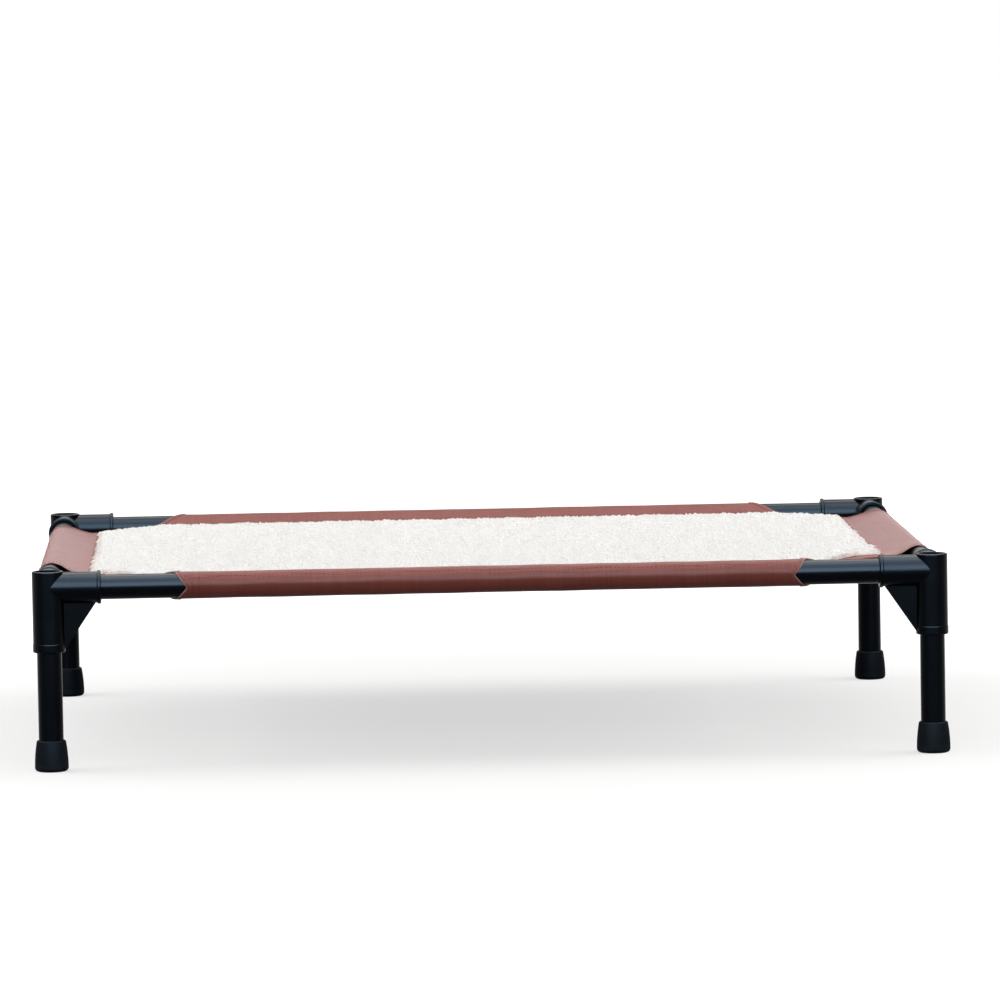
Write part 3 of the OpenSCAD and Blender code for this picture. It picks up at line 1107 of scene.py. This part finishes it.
# Locks: four-sided tufts that rise from a root ring to a tilted knee ring and bend over to a
# tip, nine points each
def makeTufts(name, root, heading, length, girth, seed):
    count = len(root)
    dice = np.random.default_rng(seed)
    spin = (dice.uniform(0, 2 * math.pi, (count, 1)) + np.arange(4) * math.pi / 2)[..., None]
    up = np.array([0, 0, 1.0])
    lean = np.concatenate([heading, np.zeros((count, 1))], 1)
    side = unit(np.cross(up, lean))
    over = unit(up - lean * lock["kneeTilt"])
    tall, wide = length[:, None], girth[:, None, None]
    knee = root + (up * lock["kneeUp"] + lean * lock["kneeOut"]) * tall
    tip = knee + (lean * lock["tipOut"] - up * lock["tipDrop"]) * tall
    across, around = side[:, None] * np.cos(spin), np.sin(spin)
    foot = root[:, None] + (across - lean[:, None] * around) * wide
    bend = knee[:, None] + (across + over[:, None] * around) * wide * lock["kneeGirth"]
    points = np.concatenate([foot, bend, tip[:, None]], 1)
    each = points.shape[1]
    starts = each * np.arange(count)[:, None, None]
    quads = np.array([[0, 1, 5, 4], [1, 2, 6, 5], [2, 3, 7, 6], [3, 0, 4, 7], [3, 2, 1, 0]])
    threes = np.array([[4, 5, 8], [5, 6, 8], [6, 7, 8], [7, 4, 8]])
    faces = [(starts + quads).reshape(-1, 4), (starts + threes).reshape(-1, 3)]
    return makePile(name, points, faces, np.broadcast_to(lock["depths"], (count, each)))


# The pile: a lock in each cell of a jittered grid, combed in drifting directions
def scatterTufts():
    dice = np.random.default_rng(seeds["locks"])
    pitch = lock["pitch"]
    cells = [int(2 * cot[key] / pitch) for key in ("fleeceX", "fleeceY")]
    x = (np.arange(cells[0])[:, None] + dice.random(cells)).ravel() * pitch - cot["fleeceX"]
    y = (np.arange(cells[1]) + dice.random(cells)).ravel() * pitch - cot["fleeceY"]
    keep = fleeceEdge(x, y)[0] > lock["inset"]
    x, y = x[keep], y[keep]
    rise = pileHeight(x, y, fleeceEdge(x, y)[0])[0]
    root = np.stack([x, y, fleeceFloor(x, y) + rise - lock["sink"]], -1)
    angle = lock["combing"] * ripples(x, y, lock["combingLength"], seeds["combing"])
    angle = angle + dice.normal(0, lock["stray"], len(x))
    heading = np.stack([np.cos(angle), np.sin(angle)], -1)
    length = dice.uniform(*lock["length"], len(x))
    girth = dice.uniform(*lock["girth"], len(x))
    made = []
    for n, part in enumerate(np.array_split(np.arange(len(x)), lock["pieces"])):
        shape = [values[part] for values in (root, heading, length, girth)]
        made.append(makeTufts(f"fleece_pile_{n + 1}", *shape, seeds["lockSpin"] + n))
    return made


fringe = dict(
    count=5200,
    inset=(0.2 * mm, 3.2 * mm),
    rise=(0.45, 0.95),  # share of the pile's height at the root
    stray=0.6,  # how far the headings stray, in radians
    length=(2.2 * mm, 4.4 * mm),
    girth=(0.5 * mm, 0.95 * mm),
    within=0.999,  # the way out is taken just inside the edge
)


# The fringe: locks rooted just inside the edge that lean out over the bands
def fringeTufts():
    dice = np.random.default_rng(seeds["fringe"])
    count = fringe["count"]
    halfX, halfY = cot["fleeceX"], cot["fleeceY"]
    leg = cornerLeg(*fleeceSizes)
    quarter = np.array([[halfX, 0], [halfX, halfY - leg], [halfX - leg, halfY], [0, halfY]])
    run = lengthAlong(quarter)
    at = dice.uniform(0, run[-1], count)
    signs = dice.choice([-1, 1], (count, 2))
    x, y = (np.interp(at, run, quarter[:, n]) * signs[:, n] for n in range(2))
    wayX, wayY = fleeceEdge(x * fringe["within"], y * fringe["within"])[1].T
    inset = dice.uniform(*fringe["inset"], count)
    x, y = x - wayX * inset, y - wayY * inset
    rise = pileHeight(x, y, inset)[0] * dice.uniform(*fringe["rise"], count)
    root = np.stack([x, y, fleeceFloor(x, y) + rise], -1)
    turn = dice.normal(0, fringe["stray"], count)
    outX = wayX * np.cos(turn) - wayY * np.sin(turn)
    outY = wayX * np.sin(turn) + wayY * np.cos(turn)
    length = dice.uniform(*fringe["length"], count)
    girth = dice.uniform(*fringe["girth"], count)
    return makeTufts("fleece_fringe", root, np.stack([outX, outY], -1), length, girth, seeds["fringeSpin"])


panel = makeFleece()
pileTufts = scatterTufts()
edgeTufts = fringeTufts()
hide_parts("fleece_panel")
bedArea(*fleeceSizes)
print("fleece laid")


# Angles are in degrees, lengths in metres, places in pixels of a square picture
shot = dict(
    yaw=-1.95,
    pitch=5.8,
    roll=-1.0,
    distance=6.29,
    focal=6740,  # in pixels
    picture=1000,
    middle=(480.0, 627.6),  # where the cot's middle is in the picture
)


# Camera: on a sphere round the cot's middle, rolled, then turned from there to the picture's middle
def makeCamera():
    yaw, pitch, roll = (math.radians(shot[key]) for key in ("yaw", "pitch", "roll"))
    back = Vector((math.sin(yaw) * math.cos(pitch), -math.cos(yaw) * math.cos(pitch), math.sin(pitch)))
    level = (-back).cross(Vector((0, 0, 1))).normalized()
    upright = level.cross(-back)
    right = level * math.cos(roll) + upright * math.sin(roll)
    up = upright * math.cos(roll) - level * math.sin(roll)
    place = Vector((0, 0, cot["height"] / 2)) + back * shot["distance"]
    offX = shot["picture"] / 2 - shot["middle"][0]
    offY = shot["middle"][1] - shot["picture"] / 2
    aim = (-back + right * (offX / shot["focal"]) + up * (offY / shot["focal"])).normalized()
    right = (right - aim * right.dot(aim)).normalized()
    up = right.cross(aim)
    data = bpy.data.cameras.new("shotCamera")
    data.lens = shot["focal"] / shot["picture"] * data.sensor_width
    camera = bpy.data.objects.new("shotCamera", data)
    turn = Matrix((right, up, -aim)).transposed().to_4x4()
    camera.matrix_world = Matrix.Translation(place) @ turn
    scene.collection.objects.link(camera)
    scene.camera = camera


makeCamera()
print("camera placed")


# Softboxes light the cot and show in no gloss; shine panels show only in gloss, as reflector
# boards do. Radiance is what a mirror of them would show, where white is 1
softboxes = dict(
    overhead=dict(place=(0, 0.3, 2.3), tilt=0, turn=0, size=(4.6, 2.2), radiance=0.79),
    front=dict(place=(0, -2.6, 1.25), tilt=67, turn=0, size=(2.4, 1.0), radiance=2.2),
    left=dict(place=(-2.4, 0.1, 1.2), tilt=65, turn=-90, size=(2.4, 1.2), radiance=3.42),
    right=dict(place=(2.4, 0.1, 1.2), tilt=65, turn=90, size=(2.4, 1.2), radiance=3.42),
)
shinePanels = dict(
    brow=dict(place=(0, -2.8, 1.46), tilt=90, turn=0, size=(4.4, 1.9), radiance=54),
    bridge=dict(place=(0, -1.85, 2.4), tilt=0, turn=0, size=(4.4, 1.9), radiance=30),
    crown=dict(place=(0, -0.3, 2.4), tilt=0, turn=0, size=(4.4, 1.2), radiance=34),
    back=dict(place=(0, 1.35, 2.4), tilt=0, turn=0, size=(4.4, 2.1), radiance=13),
)
warm, white = (1, 0.985, 0.965), (1, 1, 1)


# Area lights: the power is pi times the area times the radiance
def makeLights(boxes, colour, shine):
    for name, box in boxes.items():
        data = bpy.data.lights.new(name, "AREA")
        data.shape = "RECTANGLE"
        data.size, data.size_y = box["size"]
        data.energy = math.pi * data.size * data.size_y * box["radiance"]
        data.color = colour
        lamp = bpy.data.objects.new(name, data)
        lamp.location = box["place"]
        lamp.rotation_euler = (math.radians(box["tilt"]), 0, math.radians(box["turn"]))
        lamp.visible_camera = False
        lamp.visible_glossy = shine
        lamp.visible_diffuse = not shine
        scene.collection.objects.link(lamp)


makeLights(softboxes, warm, False)
makeLights(shinePanels, white, True)
studio = dict(
    fill=0.3,  # light from all round
    floorSize=40,
    floorTone=0.43,
    floorBounce=0.16,  # tone of the floor for the light that it throws back on the cot
    glow=0.6,  # the floor's own light beside the cot
    clear=(0.5, 1.3),  # distances between which the floor clears to white
)


# Rays that see the white backdrop: straight from the camera, mirrored or through something
def seenRays(f):
    kinds = ("Is Camera Ray", "Is Glossy Ray", "Is Transmission Ray")
    return sum((f.node("LightPath", output=kind) for kind in kinds), 0.0).clamp()


# White where it is seen, and a dim fill for the rest of the light
def makeWorld():
    scene.world = bpy.data.worlds.new("studio")
    f = Finish("studio", scene.world)
    dim = f.node("Background", None, {"Color": (*white, 1), "Strength": studio["fill"]})
    bright = f.node("Background", None, {"Color": (*white, 1), "Strength": 1.0})
    f.end(f.node("MixShader", None, {0: seenRays(f), 1: dim, 2: bright}), "OutputWorld")


# The floor takes the shadow near the cot, clears to plain white away from it, and isn't seen
# from below
def floorFinish():
    f = Finish("paleFloor")
    away = f.node("VectorMath", {"operation": "LENGTH"}, {0: f.place()}, "Value")
    near, far = studio["clear"]
    limits = {"Value": away, "From Min": near, "From Max": far}
    clear = f.node("MapRange", {"interpolation_type": "SMOOTHSTEP"}, limits)
    lit = f.node("BsdfDiffuse", None, {"Color": (studio["floorTone"],) * 3 + (1,)})
    glow = f.node("Emission", None, {"Strength": studio["glow"] + clear * (1 - studio["glow"])})
    seen = f.node("AddShader", None, {0: lit, 1: glow})
    bounce = f.node("BsdfDiffuse", None, {"Color": (studio["floorBounce"],) * 3 + (1,)})
    shown = f.node("MixShader", None, {0: seenRays(f), 1: bounce, 2: seen})
    below = f.node("NewGeometry", output="Backfacing")
    gone = f.node("BsdfTransparent")
    return f.end(f.node("MixShader", None, {0: below, 1: shown, 2: gone}))


def makeFloor():
    half = studio["floorSize"] / 2
    corners = [(wayX * half, wayY * half, 0) for wayX, wayY in cornerWays]
    mesh = bpy.data.meshes.new("floor")
    mesh.from_pydata(corners, [], [(0, 1, 2, 3)])
    mesh.materials.append(floorFinish())
    floor = bpy.data.objects.new("floor", mesh)
    scene.collection.objects.link(floor)


makeWorld()
makeFloor()
print("studio lit")
